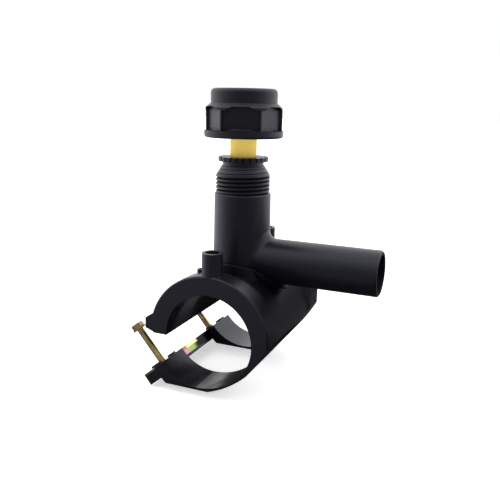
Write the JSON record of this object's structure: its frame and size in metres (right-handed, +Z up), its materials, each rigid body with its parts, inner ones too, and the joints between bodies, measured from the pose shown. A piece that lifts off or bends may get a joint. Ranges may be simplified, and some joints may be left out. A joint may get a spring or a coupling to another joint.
{
  "type": "tapping saddle",
  "caption": "Clamp-on electrofusion saddle with an upright cutter stack, a lifted screw cap and a side outlet, for tapping a branch from a plastic pipe.",
  "frame": {"origin": "on the main pipe's axis, under the stack", "axes": "+X along the outlet, +Y along the main pipe, +Z up along the stack"},
  "size_m": [0.173, 0.1106, 0.2083],
  "materials": {
    "black_plastic": "satin black moulded polyethylene",
    "seal_rubber": "black rubber",
    "cutter_brass": "smooth pale brass",
    "coil_wire": "bare heating wire",
    "pin_brass": "turned brass",
    "yellow_zinc": "yellow passivated zinc plating on steel"
  },
  "bodies": {
    "saddle": {"saddle_body": "black_plastic", "fusion_coil": "coil_wire", "terminal_pin_front": "pin_brass", "terminal_pin_rear": "pin_brass", "clamp_channel": "yellow_zinc", "nut_front": "yellow_zinc", "nut_rear": "yellow_zinc"},
    "cap": {"cap": "black_plastic", "cap_seal": "seal_rubber"},
    "cutter": {"cutter": "cutter_brass"},
    "bolt_front": {"bolt_front": "yellow_zinc", "washer_front": "yellow_zinc"},
    "indicator_front": {"indicator_pin_front": "black_plastic"},
    "bolt_rear": {"bolt_rear": "yellow_zinc", "washer_rear": "yellow_zinc"},
    "indicator_rear": {"indicator_pin_rear": "black_plastic"}
  },
  "joints": [
    {"name": "cap_travel", "type": "slide", "parent": "saddle", "child": "cap", "axis": [0, 0, 1], "range_m": [-0.0385, 0]},
    {"name": "cutter_travel", "type": "slide", "parent": "cap", "child": "cutter", "axis": [0, 0, 1], "range_m": [-0.049, 0]},
    {"name": "bolt_front_travel", "type": "slide", "parent": "saddle", "child": "bolt_front", "axis": [0.6494, 0, -0.7604], "range_m": [0, 0.029]},
    {"name": "indicator_front_rise", "type": "slide", "parent": "saddle", "child": "indicator_front", "axis": [0, 0, 1], "range_m": [0, 0.0025]},
    {"name": "bolt_rear_travel", "type": "slide", "parent": "saddle", "child": "bolt_rear", "axis": [0.6494, 0, -0.7604], "range_m": [0, 0.029]},
    {"name": "indicator_rear_rise", "type": "slide", "parent": "saddle", "child": "indicator_rear", "axis": [0, 0, 1], "range_m": [0, 0.0025]}
  ]
}
